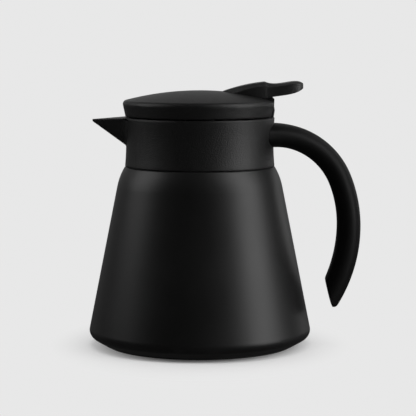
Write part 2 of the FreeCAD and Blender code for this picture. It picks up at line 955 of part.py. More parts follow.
def make_stopper_body():
    body = new_body("stopper_body")
    socket = spigot_radius + dims.spigot_fit
    loop = [
        (socket, step_under),
        (cup_radius, step_under),
        (cup_radius, flange_under),
        (flange_radius, flange_under),
        (flange_radius, flange_top),
        (cup_bore, flange_top),
        (cup_bore, step_top),
        (socket, step_top),
    ]
    turned(body, "stopper_turn", "Revolution", [loop])

    window = rectangle(-dims.window_half_width, step_top, dims.window_half_width, flange_under)
    extruded(body, "pour_window", "Pocket", "YZ_Plane", [window], cup_radius, -plug_bore)

    root_rear = root(flange_radius * flange_radius - dims.ear_outer * dims.ear_outer)
    ear = [
        (knuckle_front, flange_middle),
        (root_rear, flange_middle),
        (root_rear, ear_foot),
        (knuckle_rear - dims.ear_foot_gap, ear_foot),
        (lug_top_x, pin_z - dims.ear_rib_drop),
        Arc(knuckle_rear, pin_z, dims.knuckle_radius, 1),
        Arc(pin_x, pin_z + dims.knuckle_radius, dims.knuckle_radius, 1),
        (knuckle_front, pin_z),
    ]
    extruded(body, "ears", "Pad", "XZ_Plane", [ear], dims.ear_outer * 2, symmetric=True)
    gap = rectangle(
        knuckle_front - dims.cut_margin, flange_top, knuckle_rear + dims.cut_margin, lug_top_z)
    extruded(body, "ear_space", "Pocket", "XZ_Plane", [gap], ear_inner * 2, symmetric=True)

    rest_top = pin_z - dims.coil_radius - dims.wire_radius - dims.spring_rest_gap
    rest_rear = pin_x + dims.spring_foot_length + dims.wire_radius
    rest_half_width = dims.lug_inner - dims.spring_rest_side_gap
    rest_root = root(flange_radius * flange_radius - rest_half_width * rest_half_width)
    rest = [
        (pin_x, flange_middle),
        (rest_root, flange_middle),
        (rest_root, ear_foot),
        (rest_rear, ear_foot),
        (rest_rear, rest_top),
        (pin_x, rest_top),
    ]
    extruded(body, "spring_rest", "Pad", "XZ_Plane", [rest], rest_half_width * 2, symmetric=True)
    bore = [Circle(pin_x, pin_z, dims.pin_radius + dims.pin_press_gap)]
    through = 2 * (dims.ear_outer + dims.cut_margin)
    extruded(body, "pin_bore", "Pocket", "XZ_Plane", bore, through, symmetric=True)
    return body


def make_stopper_gasket():
    body = new_body("stopper_gasket")
    rim_radius = mouth_radius - dims.gasket_gap
    ring = rectangle(groove_radius, groove_foot, rim_radius, groove_top)
    turned(body, "gasket_ring", "Revolution", [ring])
    return body


# Lid

skirt_foot = collar_top + dims.lid_gap
skirt_radius = dims.seam_radius - dims.lid_skirt_inset
liner_foot = collar_top + dims.liner_rise
liner_radius = dims.seam_radius - dims.liner_inset
seal_radius = dims.pour_hole_radius + dims.seal_lap
lever_screw_x = pin_x - dims.lever_screw_offset
skirt_slope = tangent(dims.lid_skirt_angle)
skirt_top_radius = skirt_radius + dims.lid_skirt_height * skirt_slope
dome_centre = apex - dims.lid_dome_radius
post_foot = floor_top + dims.seal_gap + dims.seal_thickness
liner_top = liner_foot + dims.liner_thickness
notch_front = knuckle_front - dims.notch_clearance
liner_screw_circle = liner_radius - dims.liner_screw_inset
liner_screw_x = liner_screw_circle * cosine(dims.liner_screw_angle)
liner_screw_y = liner_screw_circle * sine(dims.liner_screw_angle)
liner_screw_places = [
    (-liner_screw_circle, zero),
    (liner_screw_x, -liner_screw_y),
    (liner_screw_x, liner_screw_y),
]
lever_screw_places = [
    (lever_screw_x, -dims.lever_screw_spacing / 2),
    (lever_screw_x, dims.lever_screw_spacing / 2),
]


def dome_at(distance, grow):
    """Height of the dome's surface, moved outwards by grow, at a distance from the axis."""
    radius = dims.lid_dome_radius + grow
    return dome_centre + root(radius * radius - distance * distance)


boss_foot = dome_at(lever_screw_x, -dims.lid_wall) - dims.boss_depth


def make_lid_cover():
    body = new_body("lid_cover")
    wall = dims.lid_wall
    outer = [
        (zero, skirt_foot),
        (skirt_radius, skirt_foot),
        Arc(skirt_top_radius, dome_at(skirt_top_radius, zero), dims.lid_dome_radius, 1),
        (zero, apex),
    ]
    turned(body, "dome", "Revolution", [outer])
    round_edges(body, "rim_rounding", dims.lid_rim_round,
                lambda edge: is_ring(edge, skirt_top_radius, dome_at(skirt_top_radius, zero)))
    rib_bore = liner_radius + dims.liner_fit
    rib_outside = rib_bore + dims.liner_rib_wall
    skirt_bore = skirt_radius - wall
    ceiling = skirt_top_radius - wall * 2
    hollow = [
        (rib_outside, skirt_foot),
        (skirt_bore, skirt_foot),
        Arc(ceiling, dome_at(ceiling, -wall), dims.lid_dome_radius - wall, 1),
        (rib_outside, dome_at(rib_outside, -wall)),
    ]
    middle = [
        (zero, skirt_foot),
        (rib_bore, skirt_foot),
        Arc(rib_bore, dome_at(rib_bore, -wall), dims.lid_dome_radius - wall, 1),
        (zero, apex - wall),
    ]
    turned(body, "skirt_hollow", "Groove", [hollow])
    turned(body, "middle_hollow", "Groove", [middle])
    rib_trim = rectangle(rib_bore, skirt_foot, rib_outside, liner_foot)
    turned(body, "rib_trim", "Groove", [rib_trim])

    bosses = [Circle(*spot, dims.boss_radius) for spot in lever_screw_places]
    rise = dome_at(lever_screw_x, -wall / 2) - boss_foot
    extruded(body, "lever_bosses", "Pad", "XY_Plane", bosses, rise, boss_foot)
    bosses = [Circle(*spot, dims.liner_boss_radius) for spot in liner_screw_places]
    rise = dome_at(liner_screw_circle, -wall / 2) - liner_top
    extruded(body, "liner_bosses", "Pad", "XY_Plane", bosses, rise, liner_top)

    lid_depth = apex - skirt_foot + dims.cut_margin
    notch_rear = skirt_top_radius + dims.cut_margin
    notch_side = dims.ear_outer + dims.notch_side_gap
    notch = rectangle(notch_front, -notch_side, notch_rear, notch_side)
    extruded(body, "hinge_notch", "Pocket", "XY_Plane", [notch], lid_depth, apex)
    holes = [Circle(*spot, dims.lever_screw_radius + dims.thread_gap) for spot in lever_screw_places]
    extruded(body, "lever_screw_holes", "Pocket", "XY_Plane", holes, lid_depth, apex)
    holes = [Circle(*spot, dims.liner_screw_radius + dims.thread_gap) for spot in liner_screw_places]
    depth = dims.liner_screw_length - dims.liner_thickness
    extruded(body, "liner_screw_holes", "Pocket", "XY_Plane", holes, depth, liner_top, reverse=True)
    return body


def make_lid_liner():
    body = new_body("lid_liner")
    loop = [
        (zero, post_foot - dims.knob_height),
        (dims.knob_radius, post_foot - dims.knob_height),
        (dims.knob_radius, post_foot),
        (dims.post_radius, post_foot),
        (dims.post_radius, liner_foot),
        (liner_radius, liner_foot),
        (liner_radius, liner_top),
        (zero, liner_top),
    ]
    turned(body, "liner_turn", "Revolution", [loop])
    holes = [Circle(*spot, dims.liner_screw_radius + dims.thread_gap) for spot in liner_screw_places]
    depth = dims.liner_thickness + dims.cut_margin
    extruded(body, "liner_holes", "Pocket", "XY_Plane", holes, depth, liner_top)
    return body


def make_lid_seal():
    body = new_body("lid_seal")
    socket = dims.knob_radius + dims.bead_gap
    foot = floor_top + dims.seal_gap
    depth = post_foot - dims.knob_height - dims.bead_gap
    loop = [
        (zero, foot),
        (seal_radius, foot),
        (seal_radius, post_foot),
        (socket, post_foot),
        (socket, depth),
        (zero, depth),
    ]
    turned(body, "seal_turn", "Revolution", [loop])
    return body


def make_liner_screws():
    places = [(x, y, liner_foot) for x, y in liner_screw_places]
    head = dims.liner_screw_head_height
    size = [
        ("head", dims.liner_screw_head_radius, head, -head),
        ("shank", dims.liner_screw_radius, dims.liner_screw_length, zero),
    ]
    return screws("liner_screws", places, "z", size)


def make_lever_screws():
    places = [(x, y, boss_foot) for x, y in lever_screw_places]
    head = dims.lever_screw_head_height
    size = [
        ("head", dims.lever_screw_head_radius, head, -head),
        ("shank", dims.lever_screw_radius, dims.lever_screw_length, zero),
    ]
    return screws("lever_screws", places, "z", size)


# Thumb lever and hinge

def lever_size(place_name, kind):
    return getattr(dims, "lever_" + place_name + "_" + kind)


def lever_reaches():
    """Where the lever's cross sections stand along X, each a run from its neighbour nearer the peak."""
    reaches = {"peak": pin_x - dims.lever_peak_lead}
    for place_name, neighbour in (("rise", "peak"), ("brow", "rise"), ("front", "brow")):
        reaches[place_name] = reaches[neighbour] - lever_size(place_name, "run")
    for place_name, neighbour in (("scoop", "peak"), ("tail", "scoop"), ("end", "tail")):
        reaches[place_name] = reaches[neighbour] + lever_size(place_name, "run")
    return reaches


def lever_section(place_name, reach, under, edge):
    """A bevelled bar across the lever: level underside, upright sides and a top narrower by the bevel."""
    wide = lever_size(place_name, "half_width")
    narrow = wide - dims.lever_bevel
    top = edge + lever_size(place_name, "crown")
    loop = [(-wide, under), (wide, under), (wide, edge), (narrow, top), (-narrow, top), (-wide, edge)]
    return (reach, [loop])


def make_thumb_lever():
    body = new_body("thumb_lever")
    reaches = lever_reaches()
    front = []
    for place_name in ("front", "brow", "rise", "peak"):
        bed = dome_at(reaches[place_name], zero) - dims.lever_bed_depth
        edge = bed + lever_size(place_name, "side")
        front.append(lever_section(place_name, reaches[place_name], bed, edge))
    lofted(body, "brow", "AdditiveLoft", front)
    gap = dims.lever_bed_gap
    bed = [
        (zero, skirt_foot),
        (dims.seam_radius, skirt_foot),
        Arc(dims.seam_radius, dome_at(dims.seam_radius, gap), dims.lid_dome_radius + gap, 1),
        (zero, apex + gap),
    ]
    turned(body, "dome_bed", "Groove", [bed])
    rear = [lever_section("peak", reaches["peak"], apex + dims.lever_peak_under, edge)]
    for place_name in ("scoop", "tail", "end"):
        under = apex + lever_size(place_name, "under")
        edge = under + lever_size(place_name, "side")
        rear.append(lever_section(place_name, reaches[place_name], under, edge))
    lofted(body, "tail", "AdditiveLoft", rear)

    shelf = lug_top_z + dims.lug_top_round
    lug_neck_x = pin_x + dims.lug_neck_offset
    lug_root = apex + dims.lever_scoop_under
    lug = [
        Arc(knuckle_front, pin_z, dims.knuckle_radius, 1),
        Arc(pin_x, pin_z - dims.knuckle_radius, dims.knuckle_radius, 1),
        (knuckle_rear, pin_z),
        Arc(lug_top_x, lug_top_z, dims.lug_top_round, 1),
        (lug_top_x - dims.lug_top_round, shelf),
        (lug_neck_x, shelf),
        (lug_neck_x, lug_root),
        (knuckle_front, lug_root),
    ]
    extruded(body, "lugs", "Pad", "XZ_Plane", [lug], dims.lug_outer * 2, symmetric=True)
    slot = rectangle(notch_front, skirt_foot, knuckle_rear + dims.cut_margin, apex - dims.lever_slot_drop)
    extruded(body, "spring_slot", "Pocket", "XZ_Plane", [slot], dims.lug_inner * 2, symmetric=True)
    pocket_front = pin_x - dims.coil_radius - dims.wire_radius - dims.arm_gap
    pocket_top = pin_z + dims.spring_arm_length + dims.arm_end_gap
    pocket = rectangle(pocket_front, skirt_foot, pocket_front + dims.arm_pocket_length, pocket_top)
    extruded(body, "arm_pocket", "Pocket", "XZ_Plane", [pocket], dims.lug_inner * 2, symmetric=True)
    bore = [Circle(pin_x, pin_z, dims.pin_radius + dims.pin_running_gap)]
    through = 2 * (dims.lug_outer + dims.cut_margin)
    extruded(body, "pin_bore_lugs", "Pocket", "XZ_Plane", bore, through, symmetric=True)
    holes = [Circle(*spot, dims.lever_screw_radius + dims.thread_gap) for spot in lever_screw_places]
    depth = dims.lever_screw_length + dims.thread_gap
    extruded(body, "lever_pilot_holes", "Pocket", "XY_Plane", holes, depth, boss_foot, reverse=True)
    return body


def make_hinge_pin():
    body = new_body("hinge_pin")
    loops = [Circle(pin_x, pin_z, dims.pin_radius)]
    extruded(body, "pin_rod", "Pad", "XZ_Plane", loops, dims.ear_outer * 2, symmetric=True)
    return body


def cell(alias):
    return float(sheet.get(alias))


def biarc(start, start_way, stop, stop_way):
    """Two arcs that leave start and reach stop along unit directions and meet smoothly."""
    gap = stop - start
    ways = start_way + stop_way
    denominator = 2 * (1 - start_way.dot(stop_way))
    reach = (-gap.dot(ways) + math.sqrt(gap.dot(ways) ** 2 + denominator * gap.dot(gap))) / denominator
    meeting = (start + stop + (start_way - stop_way) * reach) / 2
    edges = []
    for first, way, last, sign in ((start, start_way, meeting, 1), (stop, stop_way, meeting, -1)):
        chord = last - first
        across = chord - way * chord.dot(way)
        across.normalize()
        radius = chord.dot(chord) / (2 * chord.dot(across))
        centre = first + across * radius
        middle = (first + last) / 2 - centre
        middle.normalize()
        ends = (first, centre + middle * radius, last)
        edges.append(Part.Arc(*(ends if sign > 0 else ends[::-1])).toShape())
    return edges


def make_hinge_spring():
    radius = cell("coil_radius")
    pitch = cell("coil_pitch")
    wire = cell("wire_radius")
    middle_x = cell("seam_radius") - cell("pin_inset")
    middle_z = cell("seam_height") + cell("collar_height") + cell("pin_rise")
    quarters = int(cell("coil_turns")) * 4 + 1
    side = -pitch * quarters / 8
    rise = pitch / (2 * math.pi)
    pace = math.hypot(radius, rise)

    def on_coil(turn):
        """Place and direction after a turned angle, starting under the pin and rising at the front."""
        angle = -math.pi / 2 - turn
        spot = FreeCAD.Vector(
            middle_x + radius * math.cos(angle),
            side + rise * turn,
            middle_z + radius * math.sin(angle),
        )
        way = FreeCAD.Vector(radius * math.sin(angle), rise, -radius * math.cos(angle)) / pace
        return spot, way

    first, first_way = on_coil(0)
    edges = [Part.makeLine(first - first_way * cell("spring_foot_length"), first)]
    for quarter in range(quarters):
        start, start_way = on_coil(quarter * math.pi / 2)
        stop, stop_way = on_coil((quarter + 1) * math.pi / 2)
        edges.extend(biarc(start, start_way, stop, stop_way))
    last, last_way = on_coil(quarters * math.pi / 2)
    edges.append(Part.makeLine(last, last + last_way * cell("spring_arm_length")))
    spine = Part.Wire(edges)
    ring = Part.Circle(first - first_way * cell("spring_foot_length"), first_way, wire)
    shape = spine.makePipeShell([Part.Wire([ring.toShape()])], True, False)
    spring = doc.addObject("Part::Feature", "hinge_spring")
    spring.Label = "hinge_spring"
    spring.Shape = shape if shape.ShapeType == "Solid" else shape.Solids[0]
    spring.Placement = FreeCAD.Placement()

    samples_a_quarter = 24
    points = spine.discretize(Number=quarters * samples_a_quarter)
    step = spine.Length / (len(points) - 1)
    apart = int(math.pi * radius / step)
    gaps = [
        (points[i] - points[j]).Length - 2 * wire
        for i in range(len(points)) for j in range(i + apart, len(points))
    ]
    print("hinge_spring least gap to itself", round(min(gaps), 3))
    return spring


# Assembly

bodies = [
    make_outer_shell(),
    make_inner_flask(),
    make_bottom_plate(),
    make_vacuum_seal(),
    make_getter(),
    make_base_pad(),
    make_collar(),
    make_neck_gasket(),
    make_handle(),
    make_handle_screws(),
    make_stopper_body(),
    make_stopper_plug(),
    make_stopper_gasket(),
    make_lid_cover(),
    make_lid_liner(),
    make_lid_seal(),
    make_liner_screws(),
    make_thumb_lever(),
    make_lever_screws(),
    make_hinge_pin(),
    make_hinge_spring(),
]

doc.recompute()
faults = [item.Label for item in doc.Objects if "Invalid" in item.State or "Error" in item.State]
if faults:
    raise RuntimeError("features in error: " + ", ".join(faults))

os.makedirs("parts", exist_ok=True)
for body in bodies:
    shape = body.Shape
    if shape.isNull() or not shape.isValid() or not shape.Solids:
        raise RuntimeError("bad shape: " + body.Label)
    shape.exportStep("parts/" + body.Label + ".step")
    box = shape.BoundBox
    print(body.Label, len(shape.Solids), round(shape.Volume), [round(v, 2) for v in (
        box.XMin, box.XMax, box.YMin, box.YMax, box.ZMin, box.ZMax)])
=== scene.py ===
import math

import bmesh
import bpy
import numpy as np
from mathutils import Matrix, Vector


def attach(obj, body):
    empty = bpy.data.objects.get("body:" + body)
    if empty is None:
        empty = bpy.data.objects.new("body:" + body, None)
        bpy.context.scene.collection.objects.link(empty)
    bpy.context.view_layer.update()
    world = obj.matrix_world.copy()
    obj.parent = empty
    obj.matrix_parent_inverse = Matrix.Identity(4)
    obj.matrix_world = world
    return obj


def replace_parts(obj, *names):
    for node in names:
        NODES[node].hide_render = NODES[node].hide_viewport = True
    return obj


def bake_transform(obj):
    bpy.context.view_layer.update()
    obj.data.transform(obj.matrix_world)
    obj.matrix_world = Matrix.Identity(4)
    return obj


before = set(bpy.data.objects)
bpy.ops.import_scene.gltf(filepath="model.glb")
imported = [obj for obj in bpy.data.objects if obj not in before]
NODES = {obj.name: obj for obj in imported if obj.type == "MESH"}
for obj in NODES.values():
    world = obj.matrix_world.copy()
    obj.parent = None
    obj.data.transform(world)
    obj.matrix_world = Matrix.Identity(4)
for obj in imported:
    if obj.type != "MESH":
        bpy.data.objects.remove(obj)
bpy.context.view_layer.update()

MM = 0.001


class Wire:
    """An output socket in a node tree. Arithmetic on wires adds Math nodes to the tree."""

    def __init__(self, tree, socket):
        self.tree = tree
        self.socket = socket

    def math(self, operation, *values):
        return self.tree.node("ShaderNodeMath", {"operation": operation}, dict(enumerate(values)))

    def __add__(self, other):
        return self.math("ADD", self, other)

    def __radd__(self, other):
        return self.math("ADD", other, self)

    def __sub__(self, other):
        return self.math("SUBTRACT", self, other)

    def __rsub__(self, other):
        return self.math("SUBTRACT", other, self)

    def __mul__(self, other):
        return self.math("MULTIPLY", self, other)

    def __rmul__(self, other):
        return self.math("MULTIPLY", other, self)

    def most(self, other):
        return self.math("MAXIMUM", self, other)

    def step(self, low, high):
        """0 below low, 1 above high and a smooth rise between them."""
        sockets = {"Value": self, "From Min": low, "From Max": high}
        return self.tree.node("ShaderNodeMapRange", {"interpolation_type": "SMOOTHSTEP"}, sockets)


class Tree:
    """The node tree of a material or the world, emptied, with one method that adds any node."""

    def __init__(self, owner):
        owner.use_nodes = True
        self.tree = owner.node_tree
        self.tree.nodes.clear()

    def node(self, kind, settings=None, sockets=None, output=0):
        """Adds a node, sets its settings, then its sockets from values or wires, and returns one output."""
        made = self.tree.nodes.new(kind)
        for name, value in (settings or {}).items():
            setattr(made, name, value)
        for name, value in (sockets or {}).items():
            if isinstance(value, Wire):
                self.tree.links.new(value.socket, made.inputs[name])
            else:
                made.inputs[name].default_value = value
        if not len(made.outputs):
            return None
        return Wire(self, made.outputs[output])

    def noise(self, place, size, detail, stretch=(1.0, 1.0, 1.0)):
        """Cloudy noise from 0 to 1 whose patches are about size metres, or stretched along the axes."""
        spot = self.node("ShaderNodeMapping", {}, {"Vector": place, "Scale": stretch})
        sockets = {"Vector": spot, "Scale": 1.0 / size, "Detail": detail, "Roughness": 0.55}
        return self.node("ShaderNodeTexNoise", {}, sockets)

    def mix(self, amount, first, second):
        """Colour that goes from first to second as amount goes from 0 to 1."""
        settings = {"data_type": "RGBA"}
        return self.node("ShaderNodeMix", settings, {0: amount, 6: first, 7: second}, 2)

    def bump(self, height, distance, strength, normal=None):
        """Normal of a surface raised by height times distance, over the plain normal or a given one."""
        sockets = {"Height": height, "Distance": distance, "Strength": strength}
        if normal is not None:
            sockets["Normal"] = normal
        return self.node("ShaderNodeBump", {}, sockets)

    def rounded(self, radius):
        """Normal with the edges eased over a radius, as a moulding tool leaves them."""
        return self.node("ShaderNodeBevel", {"samples": 6}, {"Radius": radius})

    def place(self):
        return self.node("ShaderNodeTexCoord", {}, {}, "Object")

    def rays(self):
        """1 for a ray from the camera, from a mirroring surface and through glass, and otherwise 0."""
        kinds = ("Is Camera Ray", "Is Glossy Ray", "Is Transmission Ray")
        return [self.node("ShaderNodeLightPath", {}, {}, kind) for kind in kinds]

    def part(self, place, axis):
        return self.node("ShaderNodeSeparateXYZ", {}, {"Vector": place}, axis)


# Finishes

def finished(name, build):
    """A material whose surface is the Principled shader fed by the sockets that build(tree) returns."""
    material = bpy.data.materials.new(name)
    tree = Tree(material)
    shader = tree.node("ShaderNodeBsdfPrincipled", {}, build(tree))
    tree.node("ShaderNodeOutputMaterial", {}, {"Surface": shader})
    return material


def grey(level):
    return (level, level, level, 1.0)


def satin_paint(tree):
    """Black satin paint: slight orange peel, cloudy gloss and a foot that is rubbed a little lighter."""
    place = tree.place()
    peel = tree.noise(place, 1.6 * MM, 3.0)
    cloud = tree.noise(place, 35.0 * MM, 3.0)
    speck = tree.noise(place, 0.5 * MM, 1.0)
    height = tree.part(place, 2)
    rubbed = (1.0 - height.step(1.0 * MM, 7.0 * MM)) * cloud.step(0.45, 0.62)
    shade = tree.mix(cloud.step(0.3, 0.7), grey(0.0030), grey(0.0044))
    return {
        "Base Color": tree.mix(rubbed * 0.5, shade, grey(0.007)),
        "Roughness": 0.36 + 0.08 * cloud + 0.05 * speck + 0.08 * rubbed,
        "Normal": tree.bump(peel + 0.3 * speck, 0.04 * MM, 0.35, tree.rounded(0.6 * MM)),
    }


def grained_plastic(tree, easing=1.6 * MM, paleness=1.0):
    """Black plastic with a spark-eroded grain: fine pits, cloudy gloss and slightly polished patches."""
    place = tree.place()
    grain = tree.noise(place, 0.7 * MM, 2.0)
    fine = tree.noise(place, 0.22 * MM, 1.0)
    cloud = tree.noise(place, 28.0 * MM, 3.0)
    pits = grain.step(0.36, 0.64)
    shade = tree.mix(pits, grey(0.0030 * paleness), grey(0.0048 * paleness))
    return {
        "Base Color": tree.mix(cloud.step(0.35, 0.7) * 0.4, shade, grey(0.0060 * paleness)),
        "Roughness": 0.45 - 0.06 * pits + 0.06 * cloud,
        "Normal": tree.bump(pits + 0.4 * fine, 0.07 * MM, 0.7, tree.rounded(easing)),
    }


def lever_plastic(tree):
    """The lever's grained plastic: paler than the lid's, with crisper edges."""
    return grained_plastic(tree, easing=0.6 * MM, paleness=2.2)


def smooth_plastic(tree):
    """Black satin plastic of the grip: soft fine texture, with gloss that varies where hands polish it."""
    place = tree.place()
    fine = tree.noise(place, 0.4 * MM, 2.0)
    cloud = tree.noise(place, 22.0 * MM, 3.0)
    touch = cloud.step(0.5, 0.72)
    return {
        "Base Color": tree.mix(fine.step(0.3, 0.7), grey(0.0026), grey(0.0042)),
        "Roughness": 0.48 + 0.07 * fine - 0.08 * touch,
        "Specular IOR Level": 0.14,
        "Normal": tree.bump(fine + 0.5 * cloud, 0.04 * MM, 0.4, tree.rounded(0.9 * MM)),
    }


def turned_steel(tree):
    """Bare stainless steel with fine lines round the axis and a slight warm and cool cloudiness."""
    place = tree.place()
    lines = tree.noise(place, 0.9 * MM, 3.0, (0.02, 0.02, 1.0))
    fine = tree.noise(place, 0.3 * MM, 2.0, (0.03, 0.03, 1.0))
    cloud = tree.noise(place, 30.0 * MM, 3.0)
    shade = tree.mix(lines, (0.50, 0.50, 0.51, 1.0), (0.68, 0.68, 0.68, 1.0))
    return {
        "Base Color": tree.mix(cloud.step(0.4, 0.7) * 0.3, shade, (0.62, 0.59, 0.55, 1.0)),
        "Metallic": 1.0,
        "Roughness": 0.24 + 0.16 * lines + 0.06 * cloud,
        "Normal": tree.bump(lines + fine, 0.02 * MM, 0.4),
    }


def plated_steel(tree):
    """Zinc-plated hardware: pale metal with fine drawn grain and duller spots."""
    place = tree.place()
    grain = tree.noise(place, 0.4 * MM, 2.0)
    cloud = tree.noise(place, 4.0 * MM, 3.0)
    dull = cloud.step(0.45, 0.7)
    return {
        "Base Color": tree.mix(dull, (0.60, 0.61, 0.62, 1.0), (0.42, 0.42, 0.41, 1.0)),
        "Metallic": 1.0,
        "Roughness": 0.26 + 0.14 * grain + 0.12 * dull,
        "Normal": tree.bump(grain, 0.02 * MM, 0.4),
    }


def black_silicone(tree):
    """Matte silicone rubber with a dusty bloom and fine mould texture."""
    place = tree.place()
    fine = tree.noise(place, 0.3 * MM, 2.0)
    bloom = tree.noise(place, 12.0 * MM, 3.0)
    return {
        "Base Color": tree.mix(bloom.step(0.4, 0.7), grey(0.008), grey(0.016)),
        "Roughness": 0.58 + 0.10 * fine + 0.10 * bloom,
        "Normal": tree.bump(fine, 0.05 * MM, 0.5),
    }


def solder_glass(tree):
    """The fused bead over the pumping hole: brownish glass with flow streaks."""
    place = tree.place()
    flow = tree.noise(place, 1.5 * MM, 3.0)
    return {
        "Base Color": tree.mix(flow, (0.10, 0.07, 0.04, 1.0), (0.24, 0.19, 0.12, 1.0)),
        "Roughness": 0.12 + 0.12 * flow,
        "Normal": tree.bump(flow, 0.1 * MM, 0.4),
    }


PAINT = finished("satin_black_paint", satin_paint)
GRAINED = finished("grained_black_plastic", grained_plastic)
LEVER = finished("grained_lever_plastic", lever_plastic)
SMOOTH = finished("smooth_black_plastic", smooth_plastic)
STEEL = finished("turned_stainless_steel", turned_steel)
HARDWARE = finished("plated_steel_hardware", plated_steel)
SILICONE = finished("black_silicone_rubber", black_silicone)
SOLDER = finished("solder_glass_bead", solder_glass)

FINISHES = {
    "outer_shell": PAINT,
    "inner_flask": STEEL,
    "bottom_plate": STEEL,
    "getter": HARDWARE,
    "vacuum_seal": SOLDER,
    "base_pad": SILICONE,
    "collar": GRAINED,
    "neck_gasket": SILICONE,
    "handle": SMOOTH,
    "handle_screws": HARDWARE,
    "stopper_body": GRAINED,
    "stopper_plug": GRAINED,
    "stopper_gasket": SILICONE,
    "lid_cover": GRAINED,
    "lid_liner": GRAINED,
    "lid_seal": SILICONE,
    "liner_screws": HARDWARE,
    "thumb_lever": LEVER,
    "lever_screws": HARDWARE,
    "hinge_pin": HARDWARE,
    "hinge_spring": HARDWARE,
}
for name, material in FINISHES.items():
    NODES[name].material_slots[0].material = material


# Pieces worked out as surfaces, in millimetres

COLLAR_RADIUS = 46.9
COLLAR_WAIST = 0.7
COLLAR_MIDDLE = 128.2
COLLAR_TOP = 143.6

# The handle's line, whose arcs each have a radius and an angle in degrees
GRIP_START = (40.0, 132.3)
GRIP_LEVEL_RUN = 6.7
GRIP_BENDS = ((44.8, 68.0), (77.3, 22.0), (89.5, 33.1))
GRIP_FINE_RUN = 4.0
# The handle's oval, and how it changes along the line
GRIP_HALF_WIDTH = 10.0
GRIP_HALF_HEIGHT = 7.35
GRIP_WING_WIDTH = 9.0
GRIP_WING_RUN = 42.0
GRIP_WING_POWER = 1.5
GRIP_WING_SQUARENESS = 0.3
GRIP_ROOT_SWELL = 0.25
GRIP_ROOT_SWELL_ENDS = (4.5, 17.5)
GRIP_LOWER_SWELL = 0.35
GRIP_LOWER_SWELL_ENDS = (64.5, 114.5)
GRIP_END_ROUNDING = 2.8
# The slanted facet inside the handle's lower end: a point on it, its slant in degrees and its softness
GRIP_FACET = (78.9, 42.0)
GRIP_FACET_SLANT = 14.3
GRIP_FACET_LIMIT = 60.0
GRIP_FACET_SOFTNESS = 0.5
# How far the handle's root sinks into the collar, and the X up to which it is fitted to it
GRIP_ROOT_SINK = 0.3
GRIP_ROOT_LIMIT = 60.0

SPRING_AXIS = (43.0, 149.5)
SPRING_RADIUS = 2.5
SPRING_PITCH = 1.3
SPRING_TURNS = 3.25
SPRING_WIRE_RADIUS = 0.35
SPRING_FOOT_LENGTH = 2.6
SPRING_ARM_LENGTH = 8.0
SPRING_STEP = 0.2

# The spout's outside, at its root and at its tip
SPOUT_REACH = (43.0, 67.2)
SPOUT_HALF_WIDTH = (14.5, 1.0)
SPOUT_TOP = (COLLAR_TOP, 142.3)
SPOUT_DEPTH = (20.2, 1.3)
SPOUT_ROUNDING = (6.0, 0.5)
SPOUT_ROUND_SHARE = 0.3
SPOUT_LINE_LENGTH = 26.0

FILLET_UNDER_REACH = 1.0
FILLET_SIDE_REACH = 3.6
FILLET_SIDE_SHARES = (0.1, 0.6)
FILLET_UNROLLED_RADIUS = 46.5
FILLET_SINK = 0.8
FILLET_TOP_GAP = 0.05


def between(ends, share):
    return ends[0] + (ends[1] - ends[0]) * share


def smooth_step(value, low, high):
    share = np.clip((value - low) / (high - low), 0.0, 1.0)
    return share * share * (3.0 - 2.0 * share)


def smooth_most(first, second, soft):
    """The larger of two values, rounded over about soft where they meet."""
    return 0.5 * (first + second + np.sqrt((first - second) ** 2 + soft ** 2))


def turns(count):
    """Angles evenly round a full turn."""
    return np.linspace(0.0, 2 * math.pi, count, endpoint=False)


def piece(name, points, material, body=None):
    """A closed skin over rows of rings, attached to a body's empty when one is given.

    Each ring joins round, and the end rings are points.
    """
    rows, columns = points.shape[:2]
    row = np.arange(rows - 1)[:, None]
    column = np.arange(columns)[None, :]
    following = (column + 1) % columns
    corners = [
        row * columns + column,
        (row + 1) * columns + column,
        (row + 1) * columns + following,
        row * columns + following,
    ]
    faces = np.stack(np.broadcast_arrays(*corners), -1).reshape(-1, 4)
    mesh = bpy.data.meshes.new(name)
    mesh.from_pydata((points.reshape(-1, 3) * MM).tolist(), [], faces.tolist())
    work = bmesh.new()
    work.from_mesh(mesh)
    bmesh.ops.remove_doubles(work, verts=work.verts, dist=1e-4 * MM)
    if work.calc_volume(signed=True) < 0.0:
        bmesh.ops.reverse_faces(work, faces=work.faces)
    work.to_mesh(mesh)
    work.free()
    mesh.shade_smooth()
    mesh.materials.append(material)
    made = bpy.data.objects.new(name, mesh)
    bpy.context.scene.collection.objects.link(made)
    if body:
        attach(made, body)
    return made


def collar_radius(z):
    """The collar's outside: waisted half way up, on a parabola."""
    height = (z - COLLAR_MIDDLE) / (COLLAR_TOP - COLLAR_MIDDLE)
    return COLLAR_RADIUS - COLLAR_WAIST * (1.0 - height ** 2)


def grip_line():
    """The handle's line in X and Z: runs up to its points, the points, and headings from straight down.

    It starts level and then turns evenly in each arc. The points are sums of small steps, each along the mean
    of the directions at its two ends, and lie closer together near the rounded end.
    """
    radii, angles = np.array(GRIP_BENDS).T
    marks = np.cumsum(np.concatenate([[0.0, GRIP_LEVEL_RUN], radii * np.radians(angles)]))
    headings = 90.0 - np.concatenate([[0.0, 0.0], np.cumsum(angles)])
    total = marks[-1]
    near_end = total - GRIP_FINE_RUN
    along = np.concatenate([np.linspace(0.0, near_end, 240), np.linspace(near_end, total, 41)[1:]])
    heading = np.radians(np.interp(along, marks, headings))
    way = np.stack([np.sin(heading), -np.cos(heading)], 1)
    steps = np.diff(along)[:, None] * (way[1:] + way[:-1]) / 2
    points = np.cumsum(np.concatenate([[GRIP_START], steps]), 0)
    return along, points, heading


